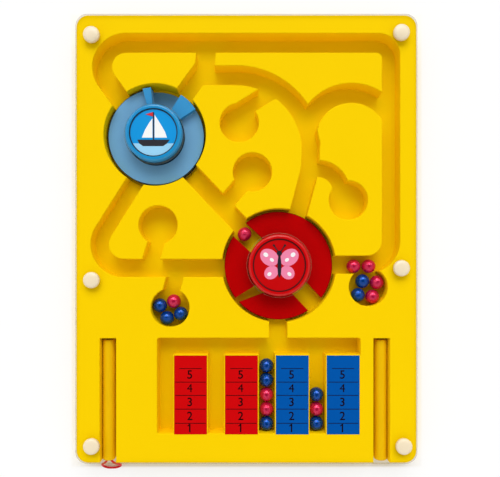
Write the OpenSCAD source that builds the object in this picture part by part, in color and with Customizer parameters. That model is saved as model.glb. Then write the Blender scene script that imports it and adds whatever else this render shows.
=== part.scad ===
// Magnetic bead maze: a flat wooden board with channels under a clear cover, two turntables that
// carry beads from channel to channel, a counting window and two magnet pens in slots at its edge.
// Millimetres. The board lies flat with +Z up and +Y towards its top edge.
// The origin is the centre of its underside.

/* [Board] */
// Width of the board, left to right
board_w = 228; // [222:1:260]
// Length of the board, lower edge to top edge
board_l = 300; // [294:1:340]
// Radius of the board's four corners
board_corner_r = 8; // [4:0.5:12]
// Thickness of the base panel under the channels
base_t = 5; // [4:0.5:10]
// Thickness of the cut layer, which is the depth of the channels
layer_t = 12; // [11.5:0.5:16]
// Thickness of the clear cover
cover_t = 2; // [1.5:0.5:4]

/* [Channels] */
// Width of a plain channel
channel_w = 12; // [11:0.1:12.6]
// Width of the wide channels along the top and out of the blue pocket
wide_channel_w = 13; // [11.5:0.1:13.6]
// Width of the necks that lead into the round pockets
neck_w = 11.4; // [10.6:0.1:12]
// Radius of the four round blind pockets
blind_pocket_r = 13.1; // [11.5:0.1:14]
// Radius of the two round pockets that store beads
bead_pocket_r = 13; // [12.6:0.1:13.6]
// Distance of the top channel's middle from the board's top edge
top_lane_in = 18.5; // [16:0.5:22]
// Distance of the right channel's middle from the board's right edge
right_lane_in = 17; // [15:0.5:20]
// Radius of the tight bends, along the channel's middle
bend_r = 16; // [14:0.5:17]
// Radius of the large arc channel over the middle, along its middle
big_arc_r = 51; // [49:0.5:53]
// Radius of the small arch channel on the right, along its middle
arch_r = 30.5; // [28:0.5:32]

/* [Turntables] */
// Distance of the blue turntable's axis from the board's left edge
blue_from_left = 52.5; // [50:0.5:55]
// Distance of the blue turntable's axis from the board's top edge
blue_from_top = 79.9; // [78:0.1:83]
// Distance of the red turntable's axis to the right of the board's middle
red_from_middle = 21.8; // [19:0.1:24]
// Distance of the red turntable's axis below the board's middle
red_below_middle = 17.7; // [15:0.1:20]
// Radius of the round pocket around the blue turntable
blue_pocket_r = 34.3; // [33:0.1:36]
// Radius of the round pocket around the red turntable
red_pocket_r = 38.3; // [37:0.1:40]
// Gap between a turntable's rim and its pocket
rim_gap = 1.6; // [0.6:0.1:3]
// Height of both discs above the channel floor
disc_h = 6; // [4:0.5:8]
// Thickness of the web under the blue disc's bead gate
gate_web_t = 1.3; // [0.8:0.1:2]
// Gap between the gate's two walls and the cover
gate_wall_gap = 1.6; // [0.6:0.1:3]
// Width of the red disc's two bead slots
red_slot_w = 12.5; // [11.5:0.1:14]
// Radius of the blue knob
blue_knob_r = 19; // [17:0.5:21]
// Radius of the red knob
red_knob_r = 20.6; // [19:0.5:23]
// Height of the knobs above the cover
knob_proud = 3.6; // [2:0.2:6]
// Radius of the rounded edge around a knob's top
knob_edge_r = 1.8; // [0.6:0.2:2.4]
// Width of the rim around the picture in a knob's top
knob_rim_w = 2.9; // [2.6:0.1:4]
// Depth of the picture's recess in a knob's top
knob_recess = 1.8; // [1.2:0.1:2.4]
// Thickness of the picture plates
plate_t = 0.8; // [0.4:0.1:1]
// Radius of the pivot posts
pivot_r = 4; // [3:0.25:5]
// Radius of the heads on the pivot posts
pivot_head_r = 6.5; // [5.5:0.25:8]
// Thickness of the heads on the pivot posts
pivot_head_t = 2; // [1.2:0.1:2.4]

/* [Beads] */
// Diameter of a bead
bead_d = 9.6; // [9:0.1:9.8]
// Gap between a resting bead and what it lies against
bead_gap = 0.28; // [0.2:0.02:0.4]

/* [Counting window] */
// Distance of the window's lower edge from the board's lower edge
window_in = 19.6; // [16:0.1:24]
// Length of the window, along the columns
window_l = 64.1; // [62:0.1:66]
// Width of the open lane above the columns
count_lane_w = 11.1; // [10.6:0.1:12]
// Width of a bead column
column_w = 10.8; // [10.6:0.1:11.6]
// Width of the four tongues between the columns
tongue_w = 23.3; // [18:0.1:24]
// Left edge of the window, measured from the board's middle
window_x = -59.9; // [-62:0.1:-56]
// Radius of the window's corners
window_corner_r = 1.6; // [0.6:0.2:3]
// Thickness of a number label
label_t = 0.4; // [0.2:0.1:0.8]
// Yellow edge left showing around a label
label_edge = 0.7; // [0.4:0.1:2]
// How far a label runs past the window's lower edge
label_past = 0.5; // [0.2:0.1:3]

/* [Pens] */
// Diameter of the pens
pen_d = 8.6; // [7:0.1:9.4]
// Length of the pens
pen_l = 82; // [70:1:88]
// Radius of the rounding on the pens' ends
pen_end_r = 1; // [0.4:0.1:1.6]
// Width of the pen slots
pen_slot_w = 10.9; // [10:0.1:12]
// Space left in a slot beyond the pen's inner end
pen_slot_clear = 1.4; // [1:0.1:8]
// Middle of the left pen slot, measured from the board's left edge
left_slot_in = 21.1; // [19:0.1:24]
// Middle of the right pen slot, measured from the board's right edge
right_slot_in = 23.3; // [20:0.1:25]
// Diameter of the magnet in a pen's end
magnet_d = 5; // [3:0.5:6]
// Length of the magnet in a pen's end
magnet_l = 6; // [4:0.5:10]
// Diameter of the cord hole in a pen's lower end
cord_hole_d = 4; // [3.8:0.1:4.8]
// Depth of the cord hole in a pen's lower end
cord_hole_l = 5; // [4:0.5:8]
// Diameter of the pull cord
cord_d = 1.5; // [1.2:0.1:1.6]

/* [Screws and caps] */
// Distance of the screws from the board's sides, but for the lower right one
screw_side_in = 11; // [9.5:0.5:12]
// Distance of the upper left screw from the board's top edge
screw_top_in = 14.4; // [10:0.2:16]
// Distance of the upper right screw from the board's top edge
screw_top_right_in = 13; // [10:0.2:16]
// Distance of the lower screws from the board's lower edge
screw_low_in = 12; // [10:0.2:20]
// Distance of the lower right screw from the board's right side
screw_low_right_in = 9.4; // [9:0.2:12]
// Height of the left middle screw, measured from the board's middle
screw_left_y = -27.5; // [-40:0.5:-20]
// Height of the right middle screw, measured from the board's middle
screw_right_y = -19.6; // [-40:0.5:-10]
// Diameter of a screw's shank
screw_d = 3; // [2.5:0.1:3.5]
// Diameter of a screw's head
screw_head_d = 6; // [5:0.2:6.4]
// Height of a screw's head
screw_head_h = 1.6; // [1.2:0.1:1.8]
// Wood left under a screw's tip
screw_floor = 2; // [1:0.5:3]
// Diameter of a cap
cap_d = 10.8; // [10:0.2:13]
// Height of a cap's dome
cap_h = 3.2; // [2.8:0.2:4]

/* [Hidden] */
$fn = 96;

YELLOW = [0.98, 0.80, 0.02];
FLOOR_YELLOW = [0.93, 0.72, 0.02];
RED = [0.75, 0.02, 0.04];
BLUE = [0.15, 0.52, 0.75];
LABEL_BLUE = [0.02, 0.33, 0.67];
BEAD_BLUE = [0.10, 0.28, 0.72];
BEAD_RED = [0.82, 0.16, 0.36];
WHITE = [0.98, 0.96, 0.90];
CLEAR = [0.85, 0.92, 0.95, 0.25];
STEEL = [0.72, 0.72, 0.74];

// Small gaps between pieces
fit_gap = 0.1;
running_gap = 0.05;
lift_gap = 0.2;
hole_gap = 0.8;
knee_ease = 0.3;
bend_ease = 0.1;
bend_ease_deg = 2;
ledge = 0.4;
ledge_deg = 0.6;
over = 1;

// Heights
half_w = board_w / 2;
half_l = board_l / 2;
floor_z = base_t;
layer_z = floor_z + layer_t;
cover_z = layer_z + cover_t;
bead_r = bead_d / 2;
bead_z = floor_z + bead_gap + bead_r;
disc_z = floor_z + disc_h;
knob_z = cover_z + knob_proud;
plate_z = knob_z - knob_recess;

// Places in the channels, as steps across and up from the places that they lead from
ne_start_step = [10, 13.5];
ne_fork_step = [33.5, 45.5];
ne_knee_step = [0.6, 5];
ne_top_step = 1.6;
big_middle_x = -7;
big_middle_drop = 56.8;
big_start_step = 6;
big_end_deg = 18;
arch_step = [77.5, 8.7];
arch_start_deg = 165;
arch_end_deg = 40;
reach_drop = 4;
drop_top_step = [50.3, 5.2];
drop_mid_step = [49.8, -11.8];
drop_low_step = [12, 31];
corner_ne_r = 14.5;
inner_ne_r = 4;
nw_bend_in = 33.2;
nw_mouth_step = [-11.6, 7.5];
sw_bend_in = 31.6;
sw_mouth_step = [-10.3, -26.7];
lower_left_drop = 1.75;
lower_right_rise = 0.5;
count_drop_step = 0.5;
blind_1_step = [2.2, 19.3];
blind_2_step = [11, -13.8];
blind_3_step = [25.6, -20.9];
blind_4_x = -59.3;
blind_4_rise = 28.9;
neck_1_steps = [[0.1, 7.7], [23.3, 22.1]];
neck_2_share = 0.548;
neck_3_step = [5.2, -15.5];
neck_3_r = 15.7;
neck_3_degs = [5, 95];
neck_4_steps = [[-0.4, -9], [-6.6, -28.9]];
left_store_x = -51.2;
left_store_drop = 26.6;
left_neck_steps = [[0.2, 9], [4.6, 26.6]];
right_store_step = [0.7, -14.9];

// Turntables and the channels' middle lines
blue_c = [blue_from_left - half_w, half_l - blue_from_top];
red_c = [red_from_middle, -red_below_middle];
top_y = half_l - top_lane_in;
right_x = half_w - right_lane_in;
ne_start = blue_c + ne_start_step;
ne_fork = blue_c + ne_fork_step;
ne_top = [ne_fork[0] + ne_top_step, top_y];
big_c = [big_middle_x, ne_fork[1] - big_middle_drop];
big_top = big_c + [0, big_arc_r];
big_start = [ne_fork[0] - big_start_step, big_top[1]];
big_end = on_ring(big_c, big_arc_r, big_end_deg);
arch_c = big_c + arch_step;
arch_start = on_ring(arch_c, arch_r, arch_start_deg);
arch_end = on_ring(arch_c, arch_r, arch_end_deg);
reach_right = [right_x, arch_end[1] - reach_drop];
drop_top = big_c + drop_top_step;
drop_mid = big_c + drop_mid_step;
drop_low = red_c + drop_low_step;
corner_ne = [right_x + channel_w / 2 - corner_ne_r, top_y + wide_channel_w / 2 - corner_ne_r];
inner_ne = [right_x - channel_w / 2 - inner_ne_r, top_y - wide_channel_w / 2 - inner_ne_r];
nw_mouth = blue_c + nw_mouth_step;
corner_nw = [nw_bend_in - half_w, top_y - bend_r];
nw_deg = tangent_deg(corner_nw, bend_r, nw_mouth, -1) + 360;
nw_end = on_ring(corner_nw, bend_r, nw_deg);
sw_mouth = blue_c + sw_mouth_step;
lower_left_y = red_c[1] - lower_left_drop;
corner_sw = [sw_bend_in - half_w, lower_left_y + bend_r];
sw_deg = tangent_deg(corner_sw, bend_r, sw_mouth, 1);
sw_end = on_ring(corner_sw, bend_r, sw_deg);
lower_right_y = red_c[1] + lower_right_rise;
count_drop_x = red_c[0] - count_drop_step;
corner_se = [right_x - bend_r, lower_right_y + bend_r];

// Where the blue disc's gate and its walls start and end, and the red disc's slots and notch
gate_degs = [58, 94.5];
gate_wall_degs = [33, 105];
red_slot_degs = [137, 313.4];
notch_degs = [216.5, 222, 243];

// Round blind pockets, each with the ends of its neck
blind_1 = big_c + blind_1_step;
blind_2 = big_c + blind_2_step;
blind_3 = drop_mid + blind_3_step;
blind_4 = [blind_4_x, lower_left_y + blind_4_rise];
neck_1 = [for (s = neck_1_steps) blind_1 + s];
neck_2 = [blind_2, blue_c + neck_2_share * (red_c - blue_c)];
neck_3_c = drop_mid + neck_3_step;
neck_4 = [for (s = neck_4_steps) blind_4 + s];

// Round pockets that store beads
left_store = [left_store_x, lower_left_y - left_store_drop];
left_neck = [for (s = left_neck_steps) left_store + s];
right_store = [corner_se[0], lower_right_y] + right_store_step;

// Counting window
pitch = column_w + tongue_w;
window_w = 4 * pitch;
window_low = window_in - half_l;
window_top = window_low + window_l;
tongue_top = window_top - count_lane_w;
label_low = window_low - label_past;

// Pens, each lying against the outer wall of its slot
pen_r = pen_d / 2;
pen_z = floor_z + lift_gap + pen_r;
left_slot_x = left_slot_in - half_w;
right_slot_x = half_w - right_slot_in;
left_pen_x = left_slot_x - pen_slot_w / 2 + lift_gap + pen_r;
right_pen_x = right_slot_x + pen_slot_w / 2 - lift_gap - pen_r;
pen_low = -half_l;
pen_slot_l = pen_l + pen_slot_clear;

// The pull cord's route at its rest on the table, from inside the left pen's end round and back.
// Each point is a place measured from the pen's end and a share of the pen's height above the table.
strand_x = (cord_hole_d - cord_d) / 2 - fit_gap;
cord_rest_z = 0.6 * cord_d;
cord_steps = [
    [-strand_x, 4, 1], [-strand_x, 2, 1], [-strand_x, 0, 1], [-2.3, -2, 0.95], [-4, -3.6, 0.78],
    [-5.7, -5.2, 0.5], [-6.4, -6.9, 0.2], [-5.5, -8.4, 0.02], [-3.2, -9.1, 0], [-0.3, -9.2, 0],
    [2.6, -9, 0], [5, -8.2, 0.03], [6.2, -6.8, 0.2], [6, -5.3, 0.46], [4.8, -4.2, 0.7],
    [3.3, -3.2, 0.87], [2, -1.7, 0.97], [strand_x, 0, 1], [strand_x, 2, 1], [strand_x, 4, 1]
];
cord_route = [
    for (c = cord_steps)
        [left_pen_x + c[0], pen_low + c[1], c[2] * pen_z + (1 - c[2]) * cord_rest_z]
];

// Screws, one in each corner and one in the middle of each side
screw_spots = [
    [screw_side_in - half_w, half_l - screw_top_in],
    [half_w - screw_side_in, half_l - screw_top_right_in],
    [screw_side_in - half_w, screw_left_y],
    [half_w - screw_side_in, screw_right_y],
    [screw_side_in - half_w, screw_low_in - half_l],
    [half_w - screw_low_right_in, screw_low_in - half_l]
];

// Beads: three along a store's wall with others resting on them, two rows in the counting columns and
// one in a slot of the red turntable
bead_pitch = bead_d + bead_gap;
store_r = bead_pocket_r - bead_r - bead_gap;
store_step = 2 * asin(bead_pitch / (2 * store_r));
left_deg = 171;
right_deg = 225;
right_rest_deg = 3;
right_degs = [right_deg, right_deg + store_step, right_deg + 2 * store_step + right_rest_deg];
left_pile = [for (i = [0:2]) on_ring(left_store, store_r, left_deg + i * store_step)];
right_pile = [for (a = right_degs) on_ring(right_store, store_r, a)];
lane_bead_y = lower_right_y - (channel_w - bead_d) / 2 + bead_gap;
red_bead_r = 31.5;
lane_bead_steps = [-8.6, 1.7];
column_y = window_low + bead_r + bead_gap;
function column_x(i) = window_x + (i - 1) * pitch + column_w / 2;
function column(i, colours) =
    [for (k = [0:len(colours) - 1]) [[column_x(i), column_y + k * bead_pitch], colours[k]]];
left_store_beads = [
    [left_pile[0], BEAD_BLUE], [left_pile[1], BEAD_BLUE], [left_pile[2], BEAD_BLUE],
    [rest_on(left_pile[0], left_pile[2], bead_pitch), BEAD_RED]
];
right_store_beads = [
    [right_pile[0], BEAD_BLUE], [right_pile[1], BEAD_RED], [right_pile[2], BEAD_RED],
    [rest_on(right_pile[0], right_pile[2], bead_pitch), BEAD_BLUE]
];
lane_beads = [for (s = lane_bead_steps) [[right_store[0] + s, lane_bead_y], BEAD_RED]];
column_3_beads = column(3, [BEAD_BLUE, BEAD_RED, BEAD_RED, BEAD_BLUE, BEAD_BLUE]);
column_4_beads = column(4, [BEAD_BLUE, BEAD_RED, BEAD_BLUE]);
turntable_bead = [on_ring(red_c, red_bead_r, red_slot_degs[0]), BEAD_RED];

// Where a straight line from p touches a ring around c
function tangent_deg(c, r, p, side) =
    let (d = p - c)
    atan2(d[1], d[0]) + side * acos(r / norm(d));
// A point on a ring around c
function on_ring(c, r, deg) = c + r * [cos(deg), sin(deg)];
// The point at distance d from both p and q, on the upper side of the line between them
function rest_on(p, q, d) =
    let (m = (p + q) / 2, h = norm(q - p) / 2, u = (q - p) / (2 * h))
    m + sqrt(d * d - h * h) * [-u[1], u[0]];
// Points along an arc, both ends included
function arc_points(c, r, from, to, steps) =
    [for (i = [0:steps]) on_ring(c, r, from + (to - from) * i / steps)];
// A list from its end to its start
function reversed(list) = [for (i = [len(list) - 1:-1:0]) list[i]];
// A pie slice that reaches past radius r
function slice(c, r, from, to) =
    concat([c], arc_points(c, (r + over) / cos((to - from) / 12), from, to, 6));

// Flat shapes

module rounded_plate(w, l, r) {
    square([w - 2 * r, l], center = true);
    square([w, l - 2 * r], center = true);
    for (x = [-1, 1], y = [-1, 1])
        translate([x * (w / 2 - r), y * (l / 2 - r)])
            circle(r);
}

// Straight channel from p to q
module run(p, q, w) {
    d = q - p;
    translate(p)
        rotate(atan2(d[1], d[0]))
            translate([0, -w / 2])
                square([norm(d), w]);
}

// Channel bent around c
module bend(c, r, w, from, to) {
    difference() {
        intersection() {
            translate(c)
                circle(r + w / 2);
            polygon(slice(c, r + w, from, to));
        }
        translate(c)
            circle(r - w / 2);
    }
}

// A bend that is a touch wider than the straight channels it joins, and overlaps them
module eased_bend(c, r, w, from, to) {
    bend(c, r, w + 2 * bend_ease, from - bend_ease_deg, to + bend_ease_deg);
}

module disc_at(c, r) {
    translate(c)
        circle(r);
}

// The bend at the upper right, with a large round outside and a small one inside
module round_corner() {
    difference() {
        intersection() {
            disc_at(corner_ne, corner_ne_r);
            translate(inner_ne)
                square(2 * corner_ne_r);
        }
        disc_at(inner_ne, inner_ne_r);
    }
}

// Channels that touch the outer frame, with the pockets they lead to
module border_channels() {
    run(nw_mouth, nw_end, wide_channel_w);
    eased_bend(corner_nw, bend_r, wide_channel_w, 90, nw_deg);
    run([corner_nw[0], top_y], [corner_ne[0], top_y], wide_channel_w);
    round_corner();
    run([right_x, corner_ne[1]], [right_x, corner_se[1]], channel_w);
    eased_bend(corner_se, bend_r, channel_w, -90, 0);
    run([red_c[0], lower_right_y], [corner_se[0], lower_right_y], channel_w);
    run(sw_mouth, sw_end, channel_w);
    eased_bend(corner_sw, bend_r, channel_w, sw_deg, 270);
    run([corner_sw[0], lower_left_y], [red_c[0], lower_left_y], channel_w);
    run([count_drop_x, red_c[1]], [count_drop_x, tongue_top + over], channel_w);
    disc_at(blue_c, blue_pocket_r);
    disc_at(red_c, red_pocket_r);
    run(left_neck[0], left_neck[1], neck_w);
    disc_at(left_store, bead_pocket_r);
    disc_at(right_store, bead_pocket_r);
}

// Channels and blind pockets between the islands
module inner_channels() {
    run(ne_start, ne_fork, wide_channel_w);
    run(ne_fork - ne_knee_step, ne_top, wide_channel_w);
    run(big_start, big_top, wide_channel_w);
    eased_bend(big_c, big_arc_r, wide_channel_w, big_end_deg, 90);
    eased_bend(arch_c, arch_r, wide_channel_w, arch_end_deg, arch_start_deg);
    run(arch_end, reach_right, wide_channel_w);
    run(arch_start, drop_top, channel_w);
    disc_at(drop_top, channel_w / 2 + knee_ease);
    run(drop_top, drop_mid, channel_w);
    disc_at(drop_mid, channel_w / 2 + knee_ease);
    run(drop_mid, drop_low, channel_w);
    run(blue_c, red_c, channel_w);
    for (c = [blind_1, blind_2, blind_3, blind_4])
        disc_at(c, blind_pocket_r);
    for (n = [neck_1, neck_2, neck_4])
        run(n[0], n[1], neck_w);
    bend(neck_3_c, neck_3_r, neck_w, neck_3_degs[0], neck_3_degs[1]);
}

module counting_window() {
    difference() {
        translate([window_x + window_w / 2, window_low + window_l / 2])
            rounded_plate(window_w, window_l, window_corner_r);
        for (i = [0:3])
            translate([window_x + i * pitch + column_w, window_low - over])
                square([tongue_w + (i == 3 ? over : 0), tongue_top - window_low + over]);
    }
}

module pen_slots() {
    for (x = [left_slot_x, right_slot_x])
        translate([x - pen_slot_w / 2, -half_l - over])
            square([pen_slot_w, pen_slot_l + over]);
}

// Rough outlines of the islands, drawn along the middles of the channels around them
big_line = arc_points(big_c, big_arc_r, 90, big_end_deg, 8);
arch_line = arc_points(arch_c, arch_r, arch_start_deg, arch_end_deg, 8);
nw_line = arc_points(corner_nw, bend_r, nw_deg, 90, 5);
sw_line = arc_points(corner_sw, bend_r, 270, sw_deg, 5);
se_line = arc_points(corner_se, bend_r, 0, -90, 3);
top_left_outline = concat([blue_c, nw_mouth], nw_line, [ne_top, ne_fork, ne_start]);
top_right_outline = concat(
    [ne_fork, ne_top, [corner_ne[0], top_y], [right_x, corner_ne[1]], reach_right],
    reversed(arch_line), reversed(big_line)
);
centre_outline = concat([blue_c, ne_start, ne_fork], big_line, [drop_top, drop_mid, drop_low, red_c]);
right_outline = concat(
    [red_c, drop_low, drop_mid, drop_top, big_end], arch_line, [reach_right], se_line,
    [[red_c[0], lower_right_y]]
);
lower_left_outline = concat([blue_c, red_c, [red_c[0], lower_left_y]], sw_line, [sw_mouth]);
island_outlines = [top_left_outline, top_right_outline, centre_outline, right_outline, lower_left_outline];

// The board

module base_panel() {
    color(FLOOR_YELLOW)
        difference() {
            linear_extrude(base_t)
                rounded_plate(board_w, board_l, board_corner_r);
            translate([blue_c[0], blue_c[1], floor_z - gate_web_t - lift_gap])
                cylinder(r = blue_pocket_r, h = base_t);
            for (c = [blue_c, red_c])
                translate([c[0], c[1], -over])
                    cylinder(r = pivot_r + fit_gap, h = base_t + 2 * over);
            for (p = screw_spots)
                translate([p[0], p[1], screw_floor])
                    cylinder(d = screw_d + fit_gap, h = base_t);
        }
}

module outer_frame() {
    color(YELLOW)
        difference() {
            translate([0, 0, floor_z])
                linear_extrude(layer_t)
                    difference() {
                        rounded_plate(board_w, board_l, board_corner_r);
                        border_channels();
                        counting_window();
                        pen_slots();
                        for (outline = island_outlines)
                            polygon(outline);
                    }
            for (i = [1:4])
                label_block(i, fit_gap, over);
            for (p = screw_spots)
                translate([p[0], p[1], floor_z - over])
                    cylinder(d = screw_d + fit_gap, h = layer_t + 2 * over);
        }
}

module island(outline) {
    color(YELLOW)
        translate([0, 0, floor_z])
            linear_extrude(layer_t)
                difference() {
                    polygon(outline);
                    border_channels();
                    inner_channels();
                }
}

module clear_cover() {
    color(CLEAR)
        translate([0, 0, layer_z])
            difference() {
                linear_extrude(cover_t)
                    rounded_plate(board_w, board_l, board_corner_r);
                translate([blue_c[0], blue_c[1], -over])
                    cylinder(r = blue_knob_r + hole_gap, h = cover_t + 2 * over);
                translate([red_c[0], red_c[1], -over])
                    cylinder(r = red_knob_r + hole_gap, h = cover_t + 2 * over);
                for (p = screw_spots)
                    translate([p[0], p[1], -over])
                        cylinder(d = screw_d + fit_gap, h = cover_t + 2 * over);
            }
}

module cover_screws() {
    color(STEEL)
        for (p = screw_spots)
            translate([p[0], p[1], 0]) {
                translate([0, 0, screw_floor + fit_gap])
                    cylinder(d = screw_d, h = cover_z + over / 2 - screw_floor - fit_gap);
                translate([0, 0, cover_z])
                    cylinder(d = screw_head_d, h = screw_head_h);
            }
}

// A domed cap that is hollow over the screw's head
module screw_caps() {
    dome_r = (cap_d * cap_d / 4 + cap_h * cap_h) / (2 * cap_h);
    color(WHITE)
        for (p = screw_spots)
            translate([p[0], p[1], cover_z])
                difference() {
                    intersection() {
                        translate([0, 0, cap_h - dome_r])
                            sphere(dome_r);
                        cylinder(d = cap_d + over, h = cap_h + over);
                    }
                    translate([0, 0, -over])
                        cylinder(d = screw_head_d + fit_gap, h = screw_head_h + fit_gap + over);
                }
}

// A label's space on its tongue, grown by a gap around it
module label_block(i, gap, extra) {
    left = window_x + (i - 1) * pitch + column_w + label_edge - gap;
    width = tongue_w - 2 * label_edge + 2 * gap;
    translate([left, label_low - gap, layer_z - label_t - fit_gap])
        cube([width, tongue_top - label_edge - label_low + 2 * gap, label_t + extra]);
}

module number_label(i) {
    color(i < 3 ? RED : LABEL_BLUE)
        label_block(i, 0, 0);
}

// Turntables

// Half outline of a knob on its disc, to be turned around the axis
module knob_outline(knob_r, low) {
    square([knob_r, knob_z - knob_edge_r - low]);
    translate([0, knob_z - knob_edge_r - low - over])
        square([knob_r - knob_edge_r, knob_edge_r + over]);
    translate([knob_r - knob_edge_r, knob_z - knob_edge_r - low])
        intersection() {
            circle(knob_edge_r);
            square(knob_edge_r);
        }
}

// What the pivot post, its head and the picture plate take out of a knob
module knob_bore(knob_r, low) {
    shoulder = plate_z - pivot_head_t - 2 * lift_gap;
    translate([0, 0, low - over])
        cylinder(r = pivot_r + running_gap, h = knob_z);
    translate([0, 0, shoulder])
        cylinder(r = pivot_head_r + lift_gap, h = knob_z);
    translate([0, 0, plate_z])
        cylinder(r = knob_r - knob_rim_w, h = knob_z);
}

// Part of a ring between two radii and two angles
module sector_block(inner, outer, from, to, low, high) {
    translate([0, 0, low])
        linear_extrude(high - low)
            bend([0, 0], (inner + outer) / 2, outer - inner, from, to);
}

module blue_turntable() {
    low = floor_z - gate_web_t;
    disc_r = blue_pocket_r - rim_gap;
    inner = blue_knob_r - 2 * over;
    walls = [
        [gate_wall_degs[0], gate_degs[0] - ledge_deg],
        [gate_degs[1] + ledge_deg, gate_wall_degs[1]]
    ];
    color(BLUE)
        translate([blue_c[0], blue_c[1], 0])
            difference() {
                union() {
                    sector_block(inner, disc_r, gate_degs[1], gate_degs[0] + 360, low, disc_z);
                    translate([0, 0, low + fit_gap])
                        cylinder(r = disc_r - ledge, h = gate_web_t - fit_gap);
                    for (w = walls)
                        sector_block(
                            inner, disc_r - ledge, w[0], w[1], disc_z - over, layer_z - gate_wall_gap
                        );
                    translate([0, 0, low])
                        rotate_extrude()
                            knob_outline(blue_knob_r, low);
                }
                knob_bore(blue_knob_r, low);
            }
}

module red_turntable() {
    low = floor_z + lift_gap;
    disc_r = red_pocket_r - rim_gap;
    notch = [
        on_ring([0, 0], disc_r + over, notch_degs[0]), on_ring([0, 0], disc_r + over, notch_degs[1]),
        on_ring([0, 0], red_knob_r, notch_degs[2]), on_ring([0, 0], red_knob_r - 2 * over, notch_degs[1])
    ];
    color(RED)
        translate([red_c[0], red_c[1], 0])
            difference() {
                union() {
                    difference() {
                        translate([0, 0, low])
                            cylinder(r = disc_r, h = disc_z - low);
                        translate([0, 0, low - over])
                            linear_extrude(disc_z - low + 2 * over) {
                                for (a = red_slot_degs)
                                    run([0, 0], on_ring([0, 0], disc_r + over, a), red_slot_w);
                                polygon(notch);
                            }
                    }
                    translate([0, 0, low])
                        rotate_extrude()
                            knob_outline(red_knob_r, low);
                }
                knob_bore(red_knob_r, low);
            }
}

module picture_plate(c, knob_r) {
    color(WHITE)
        translate([c[0], c[1], plate_z])
            cylinder(r = knob_r - knob_rim_w - fit_gap, h = plate_t);
}

module pivot(c) {
    head_z = plate_z - pivot_head_t - lift_gap;
    color(STEEL)
        translate([c[0], c[1], 0]) {
            translate([0, 0, fit_gap])
                cylinder(r = pivot_r, h = head_z + over / 2);
            translate([0, 0, head_z])
                cylinder(r = pivot_head_r, h = pivot_head_t);
        }
}

// Pens

// A round rod along +Y with rounded ends
module pen_rod() {
    rotate([-90, 0, 0])
        rotate_extrude() {
            square([pen_r - pen_end_r, pen_l]);
            translate([0, pen_end_r])
                square([pen_r, pen_l - 2 * pen_end_r]);
            for (y = [pen_end_r, pen_l - pen_end_r])
                translate([pen_r - pen_end_r, y])
                    intersection() {
                        circle(pen_end_r);
                        translate([0, -pen_end_r])
                            square([pen_end_r, 2 * pen_end_r]);
                    }
        }
}

module pen(x, cord_hole) {
    color(YELLOW)
        translate([x, pen_low, pen_z])
            difference() {
                pen_rod();
                translate([0, pen_l + over, 0])
                    rotate([90, 0, 0])
                        cylinder(d = magnet_d, h = magnet_l + over);
                if (cord_hole)
                    translate([0, -over, 0])
                        rotate([-90, 0, 0])
                            cylinder(d = cord_hole_d, h = cord_hole_l + over);
            }
}

module pen_magnet(x) {
    color(STEEL)
        translate([x, pen_low + pen_l - fit_gap, pen_z])
            rotate([90, 0, 0])
                cylinder(d = magnet_d, h = magnet_l - fit_gap);
}

// A tube swept along the route's own points
module left_pen_cord() {
    sides = 8;
    last = len(cord_route) - 1;
    ring_points = [
        for (i = [0:last])
            let (ahead = cord_route[min(i + 1, last)] - cord_route[max(i - 1, 0)],
                 t = ahead / norm(ahead),
                 side_raw = cross(t, [0, 0, 1]),
                 side = side_raw / norm(side_raw),
                 up = cross(side, t))
            for (k = [0:sides - 1])
                cord_route[i] + cord_d / 2 * (cos(360 * k / sides) * side + sin(360 * k / sides) * up)
    ];
    walls = [
        for (i = [0:last - 1], k = [0:sides - 1])
            let (a = i * sides + k, b = i * sides + (k + 1) % sides)
            each [[a, a + sides, b], [b, a + sides, b + sides]]
    ];
    start_cap = [[for (k = [0:sides - 1]) k]];
    end_cap = [[for (k = [sides - 1:-1:0]) last * sides + k]];
    color(RED)
        polyhedron(ring_points, concat(walls, start_cap, end_cap));
}

// Beads

// A bead at its resting spot: a place on the channel floor and a colour
module bead(spot) {
    color(spot[1])
        translate([spot[0][0], spot[0][1], bead_z])
            sphere(bead_r);
}

base_panel();
outer_frame();
island(top_left_outline);  // top_left_island
island(top_right_outline);  // top_right_island
island(centre_outline);  // centre_island
island(right_outline);  // right_island
island(lower_left_outline);  // lower_left_island
clear_cover();
cover_screws();
screw_caps();
number_label(1);  // number_label_1
number_label(2);  // number_label_2
number_label(3);  // number_label_3
number_label(4);  // number_label_4
blue_turntable();
picture_plate(blue_c, blue_knob_r);  // blue_picture_plate
pivot(blue_c);  // blue_pivot
red_turntable();
picture_plate(red_c, red_knob_r);  // red_picture_plate
pivot(red_c);  // red_pivot
pen(left_pen_x, true);  // left_pen
pen_magnet(left_pen_x);  // left_pen_magnet
left_pen_cord();
pen(right_pen_x, false);  // right_pen
pen_magnet(right_pen_x);  // right_pen_magnet
bead(left_store_beads[0]);  // left_store_bead_1
bead(left_store_beads[1]);  // left_store_bead_2
bead(left_store_beads[2]);  // left_store_bead_3
bead(left_store_beads[3]);  // left_store_bead_4
bead(right_store_beads[0]);  // right_store_bead_1
bead(right_store_beads[1]);  // right_store_bead_2
bead(right_store_beads[2]);  // right_store_bead_3
bead(right_store_beads[3]);  // right_store_bead_4
bead(lane_beads[0]);  // lane_bead_1
bead(lane_beads[1]);  // lane_bead_2
bead(column_3_beads[0]);  // column_3_bead_1
bead(column_3_beads[1]);  // column_3_bead_2
bead(column_3_beads[2]);  // column_3_bead_3
bead(column_3_beads[3]);  // column_3_bead_4
bead(column_3_beads[4]);  // column_3_bead_5
bead(column_4_beads[0]);  // column_4_bead_1
bead(column_4_beads[1]);  // column_4_bead_2
bead(column_4_beads[2]);  // column_4_bead_3
bead(turntable_bead);
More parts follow.
